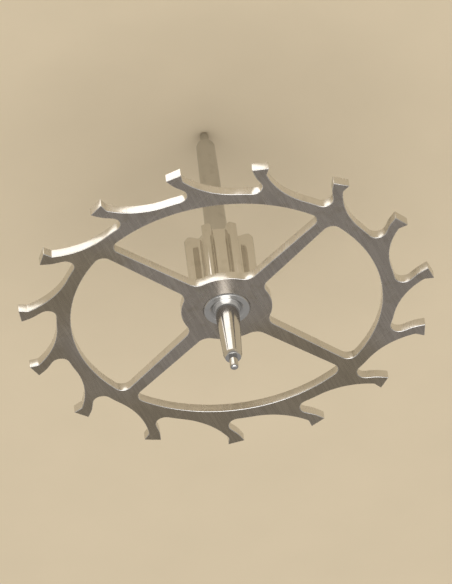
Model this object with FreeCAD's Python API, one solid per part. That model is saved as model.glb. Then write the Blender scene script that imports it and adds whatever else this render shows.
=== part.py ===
import FreeCAD, Part
import math
import os

# Escape wheel of a lever watch, in millimetres: a flat steel wheel with club teeth,
# riveted on a turned steel pinion whose arbor ends in two pivots.
# The arbor stands along +Z and the origin is on the shoulder of the lower pivot.
# Seen from +Z the teeth lean counter-clockwise, the way the wheel turns.

# Wheel, cut from sheet
tooth_count = 15
arm_count = 4
heel_radius = 2.65
tooth_height = 0.49
rim_width = 0.18
wheel_thickness = 0.12
hub_radius = 0.58
arm_width_at_rim = 0.16
arm_width_at_hub = 0.21
window_corner_at_rim = 0.12
window_corner_at_hub = 0.16

# Club tooth: faces lean back from the radius by these angles, in degrees
club_angle = 4.6
heel_rise = 0.05
draw_angle = 24.0
locking_length = 0.15
relief_angle = 38.0
relief_blend_radius = 0.40
front_root_radius = 0.12
club_back_length = 0.125
club_back_angle = 9.0
stem_back_angle = 27.0
club_corner_radius = 0.04

# Pinion leaves, cut in the arbor's thick part
leaf_count = 7
leaf_module = 0.105
modules_above_pitch = 0.79
modules_below_pitch = 0.93
leaf_angle = 19.0
leaf_root_fillet = 0.03
leaf_end_bevel = 0.035
pinion_length = 1.00
dish_wall = 0.03
dish_depth = 0.035

# Seat of the wheel on the pinion and the riveted lip that holds it
seat_step = 0.02
seat_clearance = 0.002
rivet_spread = 0.05
rivet_depth = 0.05
rivet_rise = 0.02
rivet_bevel = 0.012
groove_inset = 0.03
groove_depth = 0.03

# Arbor and pivots
lower_arbor_length = 1.70
upper_arbor_length = 0.82
arbor_radius_at_pinion = 0.150
arbor_radius_at_wheel = 0.160
arbor_radius_at_ends = 0.120
arbor_end_bevel = 0.05
pivot_shoulder_width = 0.045
pivot_radius = 0.055
pivot_length = 0.17
pivot_rounding = 0.03

# Places that follow from the sizes
rim_outer_radius = heel_radius - tooth_height
rim_inner_radius = rim_outer_radius - rim_width
pitch_radius = leaf_module * leaf_count / 2
leaf_tip_radius = pitch_radius + leaf_module * modules_above_pitch
leaf_root_radius = pitch_radius - leaf_module * modules_below_pitch
seat_radius = leaf_root_radius - seat_step
seat_height = lower_arbor_length + pinion_length
wheel_top = seat_height + wheel_thickness
upper_shoulder_height = wheel_top + upper_arbor_length
pivot_shoulder_radius = pivot_radius + pivot_shoulder_width

centre = FreeCAD.Vector(0, 0, 0)
up = FreeCAD.Vector(0, 0, 1)


def polar(radius, degrees):
    angle = math.radians(degrees)
    return FreeCAD.Vector(radius * math.cos(angle), radius * math.sin(angle), 0)


def inward(lean_back):
    """Direction towards the axis on the X axis, leaning back from the radius."""
    return polar(-1, lean_back)


def turned_left(direction):
    return FreeCAD.Vector(-direction.y, direction.x, 0)


def line(start, end):
    return Part.LineSegment(start, end).toShape()


def arc_about(middle, start, end):
    """Arc of less than half a turn about a centre."""
    radius = (start - middle).Length
    bisector = (start - middle) + (end - middle)
    bisector.normalize()
    return Part.Arc(start, middle + bisector * radius, end).toShape()


def turned(shape, degrees):
    copy = shape.copy()
    copy.rotate(centre, up, degrees)
    return copy


def raised(shape, height):
    copy = shape.copy()
    copy.translate(up * height)
    return copy


def prism(edges, height):
    return Part.Face(Part.Wire(edges)).extrude(up * height)


def upright_edges(solid, radius, tolerance=1e-4):
    """Straight edges along Z whose distance from the axis is the given radius."""
    found = []
    for edge in solid.Edges:
        ends = [vertex.Point for vertex in edge.Vertexes]
        if len(ends) != 2 or abs(ends[0].z - ends[1].z) < tolerance:
            continue
        off_axis = [math.hypot(end.x, end.y) for end in ends]
        if max(abs(distance - radius) for distance in off_axis) < tolerance:
            found.append(edge)
    return found


def club_tooth():
    """Edges of one tooth with its locking corner on the X axis, from back to front."""
    locking_corner = polar(heel_radius - heel_rise, 0)
    heel = polar(heel_radius, -club_angle)
    locking_end = locking_corner + inward(draw_angle) * locking_length
    club_back_end = heel + inward(-club_back_angle) * club_back_length

    # The stem's back is one hollow arc that leaves the club and runs out along the rim
    outward = turned_left(inward(stem_back_angle))
    reach = club_back_end.Length ** 2 - rim_outer_radius ** 2
    back_radius = reach / (2 * (rim_outer_radius - club_back_end.dot(outward)))
    back_centre = club_back_end + outward * back_radius
    back_foot = back_centre * (rim_outer_radius / (rim_outer_radius + back_radius))

    # The stem's front is straight, with a round root on the rim
    down = inward(relief_angle)
    offset = locking_end - turned_left(down) * front_root_radius
    root_circle = rim_outer_radius + front_root_radius
    along = down.dot(offset)
    run = -along - math.sqrt(along ** 2 - offset.Length ** 2 + root_circle ** 2)
    root_centre = offset + down * run
    front_end = locking_end + down * run
    front_foot = root_centre * (rim_outer_radius / root_circle)

    edges = [
        arc_about(back_centre, back_foot, club_back_end),
        line(club_back_end, heel),
        line(heel, locking_corner),
        line(locking_corner, locking_end),
        line(locking_end, front_end),
        arc_about(root_centre, front_end, front_foot),
    ]
    return edges, back_foot, front_foot, club_back_end.Length, locking_end.Length


def toothed_blank():
    """The solid wheel with its teeth, one of them over the arm on the X axis."""
    tooth, back_foot, front_foot, corner_place, relief_place = club_tooth()
    pitch = 360 / tooth_count
    turn = FreeCAD.Rotation(up, pitch)
    tooth.append(arc_about(centre, front_foot, turn.multVec(back_foot)))
    outline = []
    for number in range(tooth_count):
        outline += [turned(edge, number * pitch + club_angle / 2) for edge in tooth]
    blank = prism(outline, wheel_thickness)
    blank = blank.makeFillet(relief_blend_radius, upright_edges(blank, relief_place))
    return blank.makeFillet(club_corner_radius, upright_edges(blank, corner_place))


def window():
    """The opening between the arm on the X axis and the next one."""
    pitch = 360 / arm_count
    half_at_hub = arm_width_at_hub / 2
    half_at_rim = arm_width_at_rim / 2
    hub_angle = math.degrees(math.asin(half_at_hub / hub_radius))
    rim_angle = math.degrees(math.asin(half_at_rim / rim_inner_radius))
    near_hub = polar(hub_radius, hub_angle)
    near_rim = polar(rim_inner_radius, rim_angle)
    far_rim = polar(rim_inner_radius, pitch - rim_angle)
    far_hub = polar(hub_radius, pitch - hub_angle)
    edges = [
        line(near_hub, near_rim),
        arc_about(centre, near_rim, far_rim),
        line(far_rim, far_hub),
        arc_about(centre, far_hub, near_hub),
    ]
    opening = prism(edges, wheel_thickness)
    opening = opening.makeFillet(window_corner_at_rim, upright_edges(opening, rim_inner_radius))
    return opening.makeFillet(window_corner_at_hub, upright_edges(opening, hub_radius))


def seat_hole():
    """Bore for the pinion's seat, opened at the top for the riveted lip."""
    bore_radius = seat_radius + seat_clearance
    bore = Part.makeCylinder(bore_radius, wheel_thickness)
    countersink = Part.makeCone(bore_radius, bore_radius + rivet_spread, rivet_depth)
    return bore.fuse(raised(countersink, wheel_thickness - rivet_depth))


def escape_wheel():
    wheel = toothed_blank()
    opening = window()
    for number in range(arm_count):
        wheel = wheel.cut(turned(opening, number * 360 / arm_count))
    wheel = wheel.cut(seat_hole())
    return raised(wheel, seat_height)


def leaf():
    """Edges of one pinion leaf on the X axis: radial flanks and a rounded ogive."""
    half = leaf_angle / 2
    flank_root = polar(leaf_root_radius, -half)
    flank_end = polar(pitch_radius, -half)
    tip = FreeCAD.Vector(leaf_tip_radius, 0, 0)
    rise = tip.x - flank_end.x
    roundness = 0.55
    pull = FreeCAD.Vector(flank_end.x + rise * roundness, flank_end.y, 0)
    flat = FreeCAD.Vector(tip.x, flank_end.y * roundness, 0)
    ogive = Part.BezierCurve()
    ogive.setPoles([flank_end, pull, flat, tip])
    right_side = [line(flank_root, flank_end), ogive.toShape()]
    left_side = [edge.mirror(centre, FreeCAD.Vector(0, 1, 0)) for edge in reversed(right_side)]
    return right_side + left_side


def leaves():
    pitch = 360 / leaf_count
    space_start = polar(leaf_root_radius, leaf_angle / 2)
    space_end = polar(leaf_root_radius, pitch - leaf_angle / 2)
    edges = leaf() + [arc_about(centre, space_start, space_end)]
    outline = []
    for number in range(leaf_count):
        outline += [turned(edge, number * pitch) for edge in edges]
    block = prism(outline, pinion_length)
    block = block.makeFillet(leaf_root_fillet, upright_edges(block, leaf_root_radius))

    # The free ends of the leaves are bevelled and their face is hollowed round the arbor
    bevel_radius = leaf_tip_radius - leaf_end_bevel
    bevel = Part.makeCone(bevel_radius, leaf_tip_radius, leaf_end_bevel)
    barrel = Part.makeCylinder(leaf_tip_radius, pinion_length - leaf_end_bevel)
    block = block.common(bevel.fuse(raised(barrel, leaf_end_bevel)))
    dish = Part.makeCone(leaf_root_radius - dish_wall, arbor_radius_at_pinion, dish_depth)
    return raised(block.cut(dish), lower_arbor_length)


def pivot(shoulder_height, pointing):
    """Half section of a pivot from its tip to its shoulder; pointing is 1 up or -1 down."""
    tip = shoulder_height + pointing * pivot_length
    rounding_start = tip - pointing * pivot_rounding
    flat_end = FreeCAD.Vector(pivot_radius - pivot_rounding, 0, tip)
    wall_end = FreeCAD.Vector(pivot_radius, 0, rounding_start)
    round_middle = FreeCAD.Vector(pivot_radius - pivot_rounding, 0, rounding_start)
    return [
        line(FreeCAD.Vector(0, 0, tip), flat_end),
        arc_about(round_middle, flat_end, wall_end),
        line(wall_end, FreeCAD.Vector(pivot_radius, 0, shoulder_height)),
    ]


def turned_body():
    """Everything on the pinion that is turned: pivots, arbor, seat and riveted lip."""
    lip_top = wheel_top + rivet_rise
    rivet_radius = seat_radius + rivet_spread
    profile = [
        (pivot_radius, 0),
        (pivot_shoulder_radius, 0),
        (arbor_radius_at_ends, arbor_end_bevel),
        (arbor_radius_at_pinion, lower_arbor_length + dish_depth),
        (arbor_radius_at_pinion, seat_height),
        (seat_radius, seat_height),
        (seat_radius, wheel_top - rivet_depth),
        (rivet_radius, wheel_top),
        (rivet_radius - rivet_bevel, lip_top),
        (seat_radius - groove_inset, lip_top),
        (arbor_radius_at_wheel, wheel_top - groove_depth),
        (arbor_radius_at_ends, upper_shoulder_height - arbor_end_bevel),
        (pivot_shoulder_radius, upper_shoulder_height),
        (pivot_radius, upper_shoulder_height),
    ]
    points = [FreeCAD.Vector(radius, 0, height) for radius, height in profile]
    edges = pivot(0, -1)
    edges += [line(start, end) for start, end in zip(points, points[1:])]
    edges += pivot(upper_shoulder_height, 1)
    lowest = FreeCAD.Vector(0, 0, -pivot_length)
    highest = FreeCAD.Vector(0, 0, upper_shoulder_height + pivot_length)
    edges.append(line(highest, lowest))
    section = Part.Face(Part.Wire(Part.sortEdges(edges)[0]))
    return section.revolve(centre, up, 360)


def escape_pinion():
    return turned_body().fuse(leaves()).removeSplitter()


def save(name, shape):
    solid = shape.Solids[0]
    if len(shape.Solids) != 1 or not solid.isValid():
        raise ValueError(name + " is not one sound solid")
    solid.exportStep("parts/" + name + ".step")


os.makedirs("parts", exist_ok=True)
save("escape_wheel", escape_wheel())
save("escape_pinion", escape_pinion())
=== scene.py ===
import cmath
import math

import bmesh
import bpy
from mathutils import Matrix, Vector
from mathutils.geometry import tessellate_polygon


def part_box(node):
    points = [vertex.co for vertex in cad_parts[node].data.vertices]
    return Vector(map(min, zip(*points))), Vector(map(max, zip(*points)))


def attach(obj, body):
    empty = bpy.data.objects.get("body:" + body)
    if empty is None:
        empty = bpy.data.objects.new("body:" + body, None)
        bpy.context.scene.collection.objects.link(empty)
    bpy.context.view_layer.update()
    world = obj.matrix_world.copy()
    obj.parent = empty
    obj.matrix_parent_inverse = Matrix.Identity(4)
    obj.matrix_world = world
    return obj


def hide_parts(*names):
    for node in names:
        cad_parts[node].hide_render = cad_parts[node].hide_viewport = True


# Looks of an escape wheel: a flat polished steel wheel riveted on a turned steel pinion.
# Sizes below are in millimetres and become metres when a mesh is made.
# Points in the wheel's plane are complex numbers, x + y i.

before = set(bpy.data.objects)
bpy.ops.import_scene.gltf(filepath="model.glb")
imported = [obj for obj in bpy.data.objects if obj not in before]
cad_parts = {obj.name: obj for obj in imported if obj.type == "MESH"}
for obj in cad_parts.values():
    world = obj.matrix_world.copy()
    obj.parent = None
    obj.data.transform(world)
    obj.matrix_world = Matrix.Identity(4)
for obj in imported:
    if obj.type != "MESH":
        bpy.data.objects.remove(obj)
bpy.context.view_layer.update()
METRE = 0.001
ROOT = "root"

# Wheel
TOOTH_COUNT = 15
ARM_COUNT = 4
HEEL_RADIUS = 2.65
RIM_OUTER = 2.16
RIM_INNER = 1.98
HUB_RADIUS = 0.58
ARM_HALF_AT_RIM = 0.08
ARM_HALF_AT_HUB = 0.105
CORNER_AT_RIM = 0.12
CORNER_AT_HUB = 0.16
BORE_RADIUS = 0.2519
COUNTERSINK = 0.05
BORE_SIDES = 128

# Club tooth. Its faces lean back from the radius by the angles, which are in degrees.
CLUB_ANGLE = 4.6
HEEL_RISE = 0.05
DRAW_ANGLE = 24.0
LOCKING_LENGTH = 0.15
RELIEF_ANGLE = 38.0
RELIEF_BLEND = 0.40
ROOT_RADIUS = 0.12
CLUB_BACK_LENGTH = 0.125
CLUB_BACK_ANGLE = 9.0
STEM_BACK_ANGLE = 27.0
CLUB_CORNER = 0.04
TIP_ROUNDING = 0.006

# Pinion
LEAF_COUNT = 7
LEAF_TIP = 0.45045
LEAF_PITCH_RADIUS = 0.3675
LEAF_ROOT = 0.26985
LEAF_HALF_ANGLE = 9.5
LEAF_ROOT_FILLET = 0.03
LEAF_BEVEL = 0.035
LEAVES_START = 1.70
DISH_RADIUS = 0.23985
DISH_DEPTH = 0.035
SEAT_RADIUS = 0.24985
LIP_SPREAD = 0.05
LIP_RISE = 0.02
LIP_BEVEL = 0.012
GROOVE_INSET = 0.03
GROOVE_DEPTH = 0.03
ARBOR_AT_PINION = 0.150
ARBOR_AT_WHEEL = 0.160
ARBOR_AT_ENDS = 0.120
ARBOR_END_BEVEL = 0.05
PIVOT_SHOULDER = 0.10
PIVOT_RADIUS = 0.055
PIVOT_ROUNDING = 0.03
SHOULDER_ROUNDING = 0.006
ARBOR_ROUNDING = 0.01
GROOVE_ROUNDING = 0.008
TURNED_CORNER_STEPS = 4
LEAF_BEVEL_STEPS = 8

# Heights come from the frame's nodes. The lower shoulder is at 0 and both pivots are as long.
wheel_low, wheel_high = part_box("escape_wheel")
pinion_low, pinion_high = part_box("escape_pinion")
SEAT_HEIGHT = wheel_low.z / METRE
WHEEL_TOP = wheel_high.z / METRE
LOWER_TIP = pinion_low.z / METRE
UPPER_TIP = pinion_high.z / METRE
UPPER_SHOULDER = UPPER_TIP + LOWER_TIP

# How far the edges of the wheel and of the leaves are broken, and in how many steps
EDGE_BREAK = 0.007
EDGE_STEPS = 3

# Points this near to each other, in metres, are one
SAME_PLACE = METRE * 1e-5

# A face is level, and shaded flat, when its normal points this much up or down
LEVEL = 0.9999

# Marks on the steel: how many to a millimetre along X, Y and Z
CLOUDS = (0.45, 0.45, 0.45)
WAVES = (1.1, 1.1, 1.1)
SPECKS = (7, 7, 7)
SCRATCHES = (0.5, 26, 2)

# Degrees from the tool marks to the scratches, and how much roughness a scratch adds
SCRATCH_TURN = 63
SCRATCH_ROUGHNESS = 0.10

# How dark a speck is beside the second tone, and how much of it shows
SPECK_SHADE = 0.86
SPECK_SHARE = 0.35


def polar(radius, degrees):
    return cmath.rect(radius, math.radians(degrees))


def unit(vector):
    return vector / abs(vector)


def dot(a, b):
    return (a.conjugate() * b).real


def inward(lean_back):
    """Direction towards the axis from the real axis, leaning back from the radius."""
    return -polar(1, lean_back)


def arc(middle, start, end, steps):
    """Points of an arc of less than half a turn about a centre, both ends included."""
    sweep = cmath.phase((end - middle) / (start - middle))
    return [middle + (start - middle) * cmath.rect(1, sweep * n / steps) for n in range(steps + 1)]


def rounded(before, corner, after, radius, steps):
    """Points of the arc that rounds a corner between two straight lines."""
    back, on = unit(before - corner), unit(after - corner)
    half = abs(cmath.phase(on / back)) / 2
    reach = radius / math.tan(half)
    middle = corner + unit(back + on) * radius / math.sin(half)
    return arc(middle, corner + back * reach, corner + on * reach, steps)


def circle_beside(point, along, side, ring, way):
    """Where a circle that touches a line meets a ring about the axis: its centre and its
    touching point. side is the circle's radius square to the line; way is 1 or -1."""
    start = point + side
    reach = dot(along, start)
    run = -reach + way * math.sqrt(reach ** 2 - abs(start) ** 2 + ring ** 2)
    return start + along * run, point + along * run


def tooth_points():
    """One club tooth with its locking corner on the real axis, from back to front."""
    locking_corner = polar(HEEL_RADIUS - HEEL_RISE, 0)
    heel = polar(HEEL_RADIUS, -CLUB_ANGLE)
    locking_end = locking_corner + inward(DRAW_ANGLE) * LOCKING_LENGTH
    club_back_end = heel + inward(-CLUB_BACK_ANGLE) * CLUB_BACK_LENGTH

    outward = inward(STEM_BACK_ANGLE) * 1j
    reach = abs(club_back_end) ** 2 - RIM_OUTER ** 2
    back_radius = reach / (2 * (RIM_OUTER - dot(club_back_end, outward)))
    back_centre = club_back_end + outward * back_radius
    back_foot = back_centre * RIM_OUTER / (RIM_OUTER + back_radius)
    back = arc(back_centre, back_foot, club_back_end, steps=18)[:-1]

    down = inward(RELIEF_ANGLE)
    side = down * -1j * ROOT_RADIUS
    root_centre, front_end = circle_beside(locking_end, down, side, RIM_OUTER + ROOT_RADIUS, -1)
    front_foot = root_centre * RIM_OUTER / (RIM_OUTER + ROOT_RADIUS)

    points = back
    points += rounded(back[-1], club_back_end, heel, CLUB_CORNER, steps=6)
    points += rounded(club_back_end, heel, locking_corner, TIP_ROUNDING, steps=5)
    points += rounded(heel, locking_corner, locking_end, TIP_ROUNDING, steps=5)
    points += rounded(locking_corner, locking_end, front_end, RELIEF_BLEND, steps=6)
    points += arc(root_centre, front_end, front_foot, steps=8)
    return points


def toothed_outline():
    """The wheel's outer outline, counter-clockwise, one tooth over the arm on the X axis."""
    tooth = tooth_points()
    pitch = polar(1, 360 / TOOTH_COUNT)
    tooth += arc(0, tooth[-1], tooth[0] * pitch, steps=6)[1:-1]
    turn = polar(1, CLUB_ANGLE / 2)
    return [point * turn * pitch ** number for number in range(TOOTH_COUNT) for point in tooth]


def window_outline(number):
    """One opening between two arms, clockwise, so that the steel is on its left."""
    pitch = polar(1, 360 / ARM_COUNT)
    near_hub = cmath.rect(HUB_RADIUS, math.asin(ARM_HALF_AT_HUB / HUB_RADIUS))
    near_rim = cmath.rect(RIM_INNER, math.asin(ARM_HALF_AT_RIM / RIM_INNER))
    along = unit(near_rim - near_hub)
    rim_side = along * 1j * CORNER_AT_RIM
    hub_side = along * 1j * CORNER_AT_HUB
    rim_centre, rim_touch = circle_beside(near_hub, along, rim_side, RIM_INNER - CORNER_AT_RIM, 1)
    hub_centre, hub_touch = circle_beside(near_hub, along, hub_side, HUB_RADIUS + CORNER_AT_HUB, 1)
    rim_end = rim_centre * RIM_INNER / (RIM_INNER - CORNER_AT_RIM)
    hub_end = hub_centre * HUB_RADIUS / (HUB_RADIUS + CORNER_AT_HUB)
    half = arc(hub_centre, hub_end, hub_touch, steps=8)
    half += arc(rim_centre, rim_touch, rim_end, steps=10)
    other = [point.conjugate() * pitch for point in reversed(half)]
    points = half + arc(0, half[-1], other[0], steps=56)[1:-1] + other
    points += arc(0, other[-1], half[0], steps=12)[1:-1]
    return [point * pitch ** number for point in reversed(points)]


def offset(points, distance):
    """The closed outline moved to its left, with mitred corners."""
    moved = []
    for before, point, after in zip(points[-1:] + points[:-1], points, points[1:] + points[:1]):
        first, second = unit(point - before), unit(after - point)
        middle = unit(first + second)
        moved.append(point + middle * 1j * distance / dot(middle, first))
    return moved


def softened(points, bottom, top):
    """Rings of a wall from bottom to top whose two edges are broken by a small quarter round."""
    angles = [math.pi / 2 * step / EDGE_STEPS for step in range(EDGE_STEPS + 1)]
    lower = [(1 - math.sin(a), 1 - math.cos(a)) for a in angles]
    rings = [(offset(points, inset * EDGE_BREAK), bottom + rise * EDGE_BREAK) for inset, rise in lower]
    rings += [
        (offset(points, inset * EDGE_BREAK), top - rise * EDGE_BREAK) for inset, rise in reversed(lower)
    ]
    return rings


def circle(radius, count):
    return [polar(radius, 360 * number / count) for number in range(count)]


def add_ring(mesh, points, height):
    return [mesh.verts.new((p.real * METRE, p.imag * METRE, height * METRE)) for p in points]


def add_band(mesh, low, high, material):
    """Closed strip of quads between two rings of as many points."""
    count = len(low)
    for n in range(count):
        after = (n + 1) % count
        mesh.faces.new((low[n], low[after], high[after], high[n])).material_index = material


def add_cap(mesh, loops, material):
    """Flat face between an outer ring and its holes."""
    corners = [corner for loop in loops for corner in loop]
    for triangle in tessellate_polygon([[corner.co for corner in loop] for loop in loops]):
        mesh.faces.new([corners[n] for n in triangle]).material_index = material


def add_piece(mesh, name, node, materials, sharp_angle):
    """Turns a bmesh into a piece that stands for a node of the frame."""
    bmesh.ops.remove_doubles(mesh, verts=mesh.verts, dist=SAME_PLACE)
    bmesh.ops.recalc_face_normals(mesh, faces=mesh.faces)
    data = bpy.data.meshes.new(name)
    mesh.to_mesh(data)
    mesh.free()
    for material in materials:
        data.materials.append(material)
    data.set_sharp_from_angle(angle=math.radians(sharp_angle))
    for face in data.polygons:
        face.use_smooth = abs(face.normal.z) < LEVEL
    piece = bpy.data.objects.new(name, data)
    bpy.context.scene.collection.objects.link(piece)
    weighted = piece.modifiers.new("normals", "WEIGHTED_NORMAL")
    weighted.keep_sharp = True
    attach(piece, ROOT)
    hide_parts(node)


def build_wheel(flat_material, wall_material):
    flat, wall = 0, 1
    mesh = bmesh.new()
    columns = [softened(toothed_outline(), SEAT_HEIGHT, WHEEL_TOP)]
    columns += [
        softened(window_outline(number), SEAT_HEIGHT, WHEEL_TOP) for number in range(ARM_COUNT)
    ]
    bore = [
        (BORE_RADIUS + EDGE_BREAK, SEAT_HEIGHT),
        (BORE_RADIUS, SEAT_HEIGHT + EDGE_BREAK),
        (BORE_RADIUS, WHEEL_TOP - COUNTERSINK),
        (BORE_RADIUS + COUNTERSINK, WHEEL_TOP),
    ]
    columns.append([(circle(radius, BORE_SIDES), height) for radius, height in bore])
    bottoms, tops = [], []
    for column in columns:
        rings = [add_ring(mesh, points, height) for points, height in column]
        for low, high in zip(rings, rings[1:]):
            add_band(mesh, low, high, wall)
        bottoms.append(rings[0])
        tops.append(rings[-1])
    add_cap(mesh, bottoms, flat)
    add_cap(mesh, tops, flat)
    materials = [flat_material, wall_material]
    add_piece(mesh, "steel_wheel", "escape_wheel", materials, sharp_angle=50)


def leaf_outline():
    """Outline of all the leaves, counter-clockwise, with a root fillet at each flank."""
    flank = polar(1, LEAF_HALF_ANGLE)
    side = flank * 1j * LEAF_ROOT_FILLET
    fillet, touch = circle_beside(0, flank, side, LEAF_ROOT + LEAF_ROOT_FILLET, 1)
    root_end = fillet * LEAF_ROOT / (LEAF_ROOT + LEAF_ROOT_FILLET)
    flank_end = flank * LEAF_PITCH_RADIUS
    rise = LEAF_TIP - flank_end.real
    roundness = 0.55
    poles = [
        complex(LEAF_TIP, 0),
        complex(LEAF_TIP, flank_end.imag * roundness),
        complex(flank_end.real + rise * roundness, flank_end.imag),
        flank_end,
    ]
    steps = 12
    ogive = []
    for n in range(steps + 1):
        t = n / steps
        weights = ((1 - t) ** 3, 3 * t * (1 - t) ** 2, 3 * t ** 2 * (1 - t), t ** 3)
        ogive.append(sum(weight * pole for weight, pole in zip(weights, poles)))
    half = ogive + arc(fillet, touch, root_end, steps=6)
    pitch = polar(1, 360 / LEAF_COUNT)
    other = [point.conjugate() * pitch for point in reversed(half)]
    points = half + arc(0, half[-1], other[0], steps=8)[1:-1] + other[:-1]
    return [point * pitch ** number for number in range(LEAF_COUNT) for point in points]


def softened_profile(corners):
    """Half section of a turned piece: (radius, height, rounding) corners with round edges."""
    points = []
    for n, (radius, height, rounding) in enumerate(corners):
        corner = complex(radius, height)
        if rounding == 0:
            points.append(corner)
            continue
        before = complex(*corners[n - 1][:2])
        after = complex(*corners[n + 1][:2])
        points += rounded(before, corner, after, rounding, TURNED_CORNER_STEPS)
    return points


def lower_profile():
    """Half section of the lower pivot and the long arbor, up to the leaves' dished end."""
    return softened_profile([
        (0, LOWER_TIP, 0),
        (PIVOT_RADIUS, LOWER_TIP, PIVOT_ROUNDING),
        (PIVOT_RADIUS, 0, 0),
        (PIVOT_SHOULDER, 0, SHOULDER_ROUNDING),
        (ARBOR_AT_ENDS, ARBOR_END_BEVEL, ARBOR_ROUNDING),
        (ARBOR_AT_PINION, LEAVES_START + DISH_DEPTH, 0),
        (DISH_RADIUS, LEAVES_START, SHOULDER_ROUNDING),
        (LEAF_ROOT, LEAVES_START, 0),
    ])


def upper_profile():
    """Half section of the wheel's seat, the riveted lip, the short arbor and the upper pivot."""
    return softened_profile([
        (LEAF_ROOT, SEAT_HEIGHT, 0),
        (SEAT_RADIUS, SEAT_HEIGHT, 0),
        (SEAT_RADIUS, WHEEL_TOP - COUNTERSINK, 0),
        (SEAT_RADIUS + LIP_SPREAD, WHEEL_TOP, SHOULDER_ROUNDING),
        (SEAT_RADIUS + LIP_SPREAD - LIP_BEVEL, WHEEL_TOP + LIP_RISE, SHOULDER_ROUNDING),
        (SEAT_RADIUS - GROOVE_INSET, WHEEL_TOP + LIP_RISE, GROOVE_ROUNDING),
        (ARBOR_AT_WHEEL, WHEEL_TOP - GROOVE_DEPTH, ARBOR_ROUNDING),
        (ARBOR_AT_ENDS, UPPER_SHOULDER - ARBOR_END_BEVEL, ARBOR_ROUNDING),
        (PIVOT_SHOULDER, UPPER_SHOULDER, SHOULDER_ROUNDING),
        (PIVOT_RADIUS, UPPER_SHOULDER, 0),
        (PIVOT_RADIUS, UPPER_TIP, PIVOT_ROUNDING),
        (0, UPPER_TIP, 0),
    ])


def leaf_levels():
    """Heights along the leaves, each with how far the leaves reach there."""
    levels = []
    for n in range(LEAF_BEVEL_STEPS + 1):
        share = n / LEAF_BEVEL_STEPS
        levels.append((LEAVES_START + LEAF_BEVEL * share, LEAF_TIP - LEAF_BEVEL * (1 - share)))
    levels.append((SEAT_HEIGHT - EDGE_BREAK, LEAF_TIP))
    levels.append((SEAT_HEIGHT, LEAF_TIP - EDGE_BREAK))
    return levels


def build_pinion(turned_material, leaf_material, pivot_material):
    turned, leaf, pivot = 0, 1, 2
    mesh = bmesh.new()
    outline = leaf_outline()
    rays = [unit(point) for point in outline]

    def turned_rings(profile):
        return [
            add_ring(mesh, [ray * point.real for ray in rays], point.imag)
            for point in profile
            if point.real > 0
        ]

    def leaf_ring(height, reach):
        return add_ring(mesh, [unit(point) * min(abs(point), reach) for point in outline], height)

    lower_rings = turned_rings(lower_profile())
    leaf_rings = [leaf_ring(height, reach) for height, reach in leaf_levels()]
    upper_rings = turned_rings(upper_profile())
    rings = lower_rings + leaf_rings + upper_rings
    bands = [turned] * len(lower_rings) + [leaf] * len(leaf_rings) + [turned] * len(upper_rings)
    for low, high, band in zip(rings, rings[1:], bands):
        below = max(low[0].co.z, high[0].co.z) <= SAME_PLACE
        above = min(low[0].co.z, high[0].co.z) >= UPPER_SHOULDER * METRE - SAME_PLACE
        add_band(mesh, low, high, pivot if below or above else band)
    for ring, tip in ((rings[0], LOWER_TIP), (rings[-1], UPPER_TIP)):
        pole = mesh.verts.new((0, 0, tip * METRE))
        for n, corner in enumerate(ring):
            mesh.faces.new((corner, ring[(n + 1) % len(ring)], pole)).material_index = pivot
    materials = [turned_material, leaf_material, pivot_material]
    add_piece(mesh, "steel_pinion", "escape_pinion", materials, sharp_angle=35)


class Nodes:
    """A node tree, with short calls that add nodes and fill their inputs."""

    def __init__(self, tree):
        self.tree = tree

    def add(self, kind, inputs=None, **settings):
        node = self.tree.nodes.new(kind)
        for key, value in settings.items():
            setattr(node, key, value)
        self.fill(node, inputs or {})
        return node

    def fill(self, node, inputs):
        """Sets inputs of a node, each to a value or to another node's output."""
        for key, value in inputs.items():
            if isinstance(value, bpy.types.NodeSocket):
                self.tree.links.new(value, node.inputs[key])
            else:
                node.inputs[key].default_value = value


def new_material(name):
    """A material, its nodes and the node that is its surface."""
    material = bpy.data.materials.new(name)
    material.use_nodes = True
    nodes = Nodes(material.node_tree)
    return material, nodes, material.node_tree.nodes["Principled BSDF"]


def smooth_range(nodes, value, low, high, to_low=0.0, to_high=1.0):
    """value mapped smoothly from low..high to to_low..to_high, and held at the ends."""
    inputs = {"Value": value, "From Min": low, "From Max": high, "To Min": to_low, "To Max": to_high}
    return nodes.add("ShaderNodeMapRange", inputs, interpolation_type="SMOOTHSTEP").outputs[0]


def noise(nodes, place, stretch, detail=2.0, turn=0.0):
    """Noise with so many features per millimetre along X, Y and Z, turned about Z."""
    turned_place = nodes.add(
        "ShaderNodeVectorRotate", {"Vector": place, "Angle": math.radians(turn)}, rotation_type="Z_AXIS"
    ).outputs[0]
    scaled = nodes.add(
        "ShaderNodeVectorMath",
        {0: turned_place, 1: [features / METRE for features in stretch]},
        operation="MULTIPLY",
    ).outputs["Vector"]
    inputs = {"Vector": scaled, "Scale": 1.0, "Detail": detail}
    return nodes.add("ShaderNodeTexNoise", inputs).outputs["Fac"]


def blend(nodes, factor, first, second):
    """Colour that goes from first to second."""
    ends = [end if isinstance(end, bpy.types.NodeSocket) else (*end, 1) for end in (first, second)]
    inputs = {"Factor": factor, "A": ends[0], "B": ends[1]}
    return nodes.add("ShaderNodeMix", inputs, data_type="RGBA").outputs["Result"]


def around_axis(nodes, place):
    """The place as distance from the arbor's axis and height, for marks that go round."""
    split = nodes.add("ShaderNodeSeparateXYZ", {0: place})
    flat = nodes.add("ShaderNodeCombineXYZ", {0: split.outputs[0], 1: split.outputs[1]}).outputs[0]
    radius = nodes.add("ShaderNodeVectorMath", {0: flat}, operation="LENGTH").outputs["Value"]
    return nodes.add("ShaderNodeCombineXYZ", {0: radius, 2: split.outputs[2]}).outputs[0]


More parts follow.
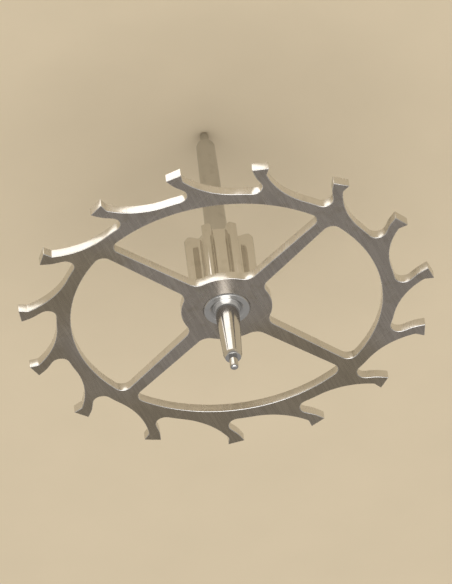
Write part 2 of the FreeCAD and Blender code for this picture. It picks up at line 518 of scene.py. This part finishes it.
def steel(
    name, colours, roughness, marks, mark_depth, turn=0.0, circular=False, waviness=0.0, painted_reflection_drift=None
):
    """Steel with fine tool marks, faint scratches and a slow change of tone.

    colours: the two tones. marks: tool marks per millimetre along X, Y and Z.
    drift: painted reflection; how much the second tone gains per millimetre along X, Y and Z, so that
    the tone leans one way across the piece.
    """
    material, nodes, surface = new_material(name)
    place = nodes.add("ShaderNodeTexCoord").outputs["Object"]
    tool_place = around_axis(nodes, place) if circular else place
    tool = noise(nodes, tool_place, marks, detail=3.0, turn=turn)
    cloud = noise(nodes, place, CLOUDS)
    speck = noise(nodes, place, SPECKS, detail=3.0)
    scratch = noise(nodes, place, SCRATCHES, turn=turn + SCRATCH_TURN)
    scratched = smooth_range(nodes, scratch, 0.66, 0.72)

    # Painted reflection: with a drift the tone leans towards the second tone one way across the piece.
    if painted_reflection_drift:
        inputs = {0: place, 1: [painted_reflection_gain / METRE for painted_reflection_gain in painted_reflection_drift]}
        painted_reflection_gain = nodes.add("ShaderNodeVectorMath", inputs, operation="DOT_PRODUCT").outputs["Value"]
        cloud = nodes.add("ShaderNodeMath", {0: cloud, 1: painted_reflection_gain}, operation="ADD").outputs[0]
    tone = smooth_range(nodes, cloud, 0.38, 0.62)
    colour = blend(nodes, tone, *colours)
    darker = [channel * SPECK_SHADE for channel in colours[1]]
    speckled = smooth_range(nodes, speck, 0.52, 0.70, to_high=SPECK_SHARE)
    colour = blend(nodes, speckled, colour, darker)

    even = smooth_range(nodes, tool, 0.3, 0.7, roughness * 0.8, roughness * 1.25)
    inputs = {0: scratched, 1: SCRATCH_ROUGHNESS}
    worn = nodes.add("ShaderNodeMath", inputs, operation="MULTIPLY").outputs[0]
    rough = nodes.add("ShaderNodeMath", {0: even, 1: worn}, operation="ADD").outputs[0]

    normal = nodes.add("ShaderNodeBump", {"Height": tool, "Distance": mark_depth * METRE}).outputs[0]
    if waviness:
        wave = noise(nodes, place, WAVES, detail=1.0)
        inputs = {"Height": wave, "Distance": waviness * METRE, "Normal": normal}
        normal = nodes.add("ShaderNodeBump", inputs).outputs[0]

    looks = {"Base Color": colour, "Metallic": 1.0, "Roughness": rough, "Normal": normal}
    nodes.fill(surface, looks)
    return material


def card(colours):
    """Matt card whose tone varies a little from place to place."""
    material, nodes, surface = new_material("floor_card")
    place = nodes.add("ShaderNodeTexCoord").outputs["Object"]
    fibre = noise(nodes, place, (0.9, 0.9, 0.9), detail=4.0)
    colour = blend(nodes, fibre, *colours)
    nodes.fill(surface, {"Base Color": colour, "Roughness": 0.9, "Specular IOR Level": 0.1})
    return material


def add_floor(material):
    """Level floor that the lower pivot stands on, wide enough to reach the horizon."""
    bpy.ops.mesh.primitive_plane_add(size=2000 * METRE, location=(0, 0, LOWER_TIP * METRE))
    floor = bpy.context.object
    floor.name = "floor"
    floor.data.materials.append(material)


def direction(azimuth, elevation):
    """Unit vector towards a place so many degrees round from X and above the floor."""
    a, e = math.radians(azimuth), math.radians(elevation)
    return Vector((math.cos(a) * math.cos(e), math.sin(a) * math.cos(e), math.sin(e)))


def add_world(horizon, room, overhead):
    """Surroundings that go from the horizon's colour to a dim room and to a light ceiling."""
    room_from, room_to, overhead_from = 0.15, 0.62, 0.97
    world = bpy.data.worlds.new("studio")
    bpy.context.scene.world = world
    world.use_nodes = True
    nodes = Nodes(world.node_tree)
    way = nodes.add("ShaderNodeTexCoord").outputs["Generated"]
    height = nodes.add("ShaderNodeSeparateXYZ", {0: way}).outputs[2]
    above = blend(nodes, smooth_range(nodes, height, room_to, overhead_from), room, overhead)
    whole = blend(nodes, smooth_range(nodes, height, 0.0, room_from), horizon, above)
    nodes.fill(world.node_tree.nodes["Background"], {"Color": whole})


def add_lamp(name, place, facing, diameter, radiance):
    """Round soft lamp, place and diameter in millimetres. radiance is what its surface shows."""
    lamp = bpy.data.lights.new(name, "AREA")
    lamp.shape = "DISK"
    lamp.size = diameter * METRE
    lamp.energy = radiance * (math.pi * lamp.size / 2) ** 2
    holder = bpy.data.objects.new(name, lamp)
    holder.location = place * METRE
    holder.rotation_mode = "QUATERNION"
    holder.rotation_quaternion = facing.to_track_quat("-Z", "Y")
    holder.visible_camera = False
    bpy.context.scene.collection.objects.link(holder)


def add_camera():
    """Looks at the hub as the photograph does. The hub's place is in millimetres from the
    picture's middle."""
    azimuth, elevation, roll = 134.2, 41.0, 172.5
    distance = 120.0
    hub_right, hub_below = 0.01, 0.215
    photo_pixels_per_mm = 13.65
    zoom = 5.8
    picture_height = 584
    turn = (
        Matrix.Rotation(math.radians(azimuth + 90), 4, "Z")
        @ Matrix.Rotation(math.radians(90 - elevation), 4, "X")
        @ Matrix.Rotation(math.radians(roll), 4, "Z")
    )
    right, up, back = (turn.col[n].to_3d() for n in range(3))
    aim = Vector((0, 0, WHEEL_TOP)) - right * hub_right + up * hub_below
    data = bpy.data.cameras.new("camera")
    data.sensor_width = 36.0
    data.lens = data.sensor_width * distance / (picture_height / (photo_pixels_per_mm * zoom))
    data.clip_start = 0.01
    data.clip_end = 5.0
    camera = bpy.data.objects.new("camera", data)
    camera.matrix_world = Matrix.Translation((aim + back * distance) * METRE) @ turn
    bpy.context.scene.collection.objects.link(camera)
    bpy.context.scene.camera = camera


# Two tones of each surface. The lapped flats' tones are darker than the steel's own, as painted shade,
# and their olive second tone is a painted reflection.
LAPPED_PAINTED_SHADE_AND_REFLECTION = [(0.42, 0.375, 0.325), (0.36, 0.305, 0.225)]
# Paler than the steel's own tones, partly as painted reflection; used for the wheel's walls and the
# leaves.
BRIGHT_PAINTED_REFLECTION = [(0.74, 0.72, 0.69), (0.66, 0.64, 0.60)]
PLAIN = [(0.62, 0.61, 0.59), (0.52, 0.51, 0.49)]
CARD = [(0.64, 0.54, 0.38), (0.69, 0.58, 0.41)]

lapped_painted_shade_and_reflection = steel(
    "lapped_steel_painted_shade_and_reflection",
    LAPPED_PAINTED_SHADE_AND_REFLECTION,
    roughness=0.26,
    marks=(2, 34, 2),
    mark_depth=0.0004,
    turn=30,
    waviness=0.018,
    painted_reflection_drift=(0.03, -0.075, 0),
# Painted reflection: the flats lean to their olive second tone towards +X and -Y.
)
# The wheel's walls: paler than its flats of the same steel, partly as painted reflection.
polished_painted_reflection = steel("polished_steel_painted_reflection", BRIGHT_PAINTED_REFLECTION, roughness=0.24, marks=(12, 12, 2), mark_depth=0.0003)
turned_steel = steel(
    "turned_steel", PLAIN, roughness=0.14, marks=(60, 1, 60), mark_depth=0.0003, circular=True
)
# The leaves take the same pale tones, partly as painted reflection.
leaf_steel = steel("leaf_steel", BRIGHT_PAINTED_REFLECTION, roughness=0.12, marks=(40, 40, 2), mark_depth=0.0003)
burnished = steel(
    "burnished_steel", PLAIN, roughness=0.08, marks=(20, 1, 50), mark_depth=0.0001, circular=True
)
floor_card = card(CARD)

build_wheel(lapped_painted_shade_and_reflection, polished_painted_reflection)
build_pinion(turned_steel, leaf_steel, burnished)
add_floor(floor_card)

add_world(horizon=(0.665, 0.555, 0.39), room=(0.37, 0.36, 0.35), overhead=(0.97, 0.95, 0.93))
key_side = direction(134, 70)
add_lamp("key", key_side * 800, facing=-key_side, diameter=790, radiance=2.15)
add_lamp("bounce", direction(160, 0) * 9.8, facing=direction(0, 90), diameter=12.4, radiance=1.3)
add_camera()

scene = bpy.context.scene
scene.view_settings.view_transform = "Standard"
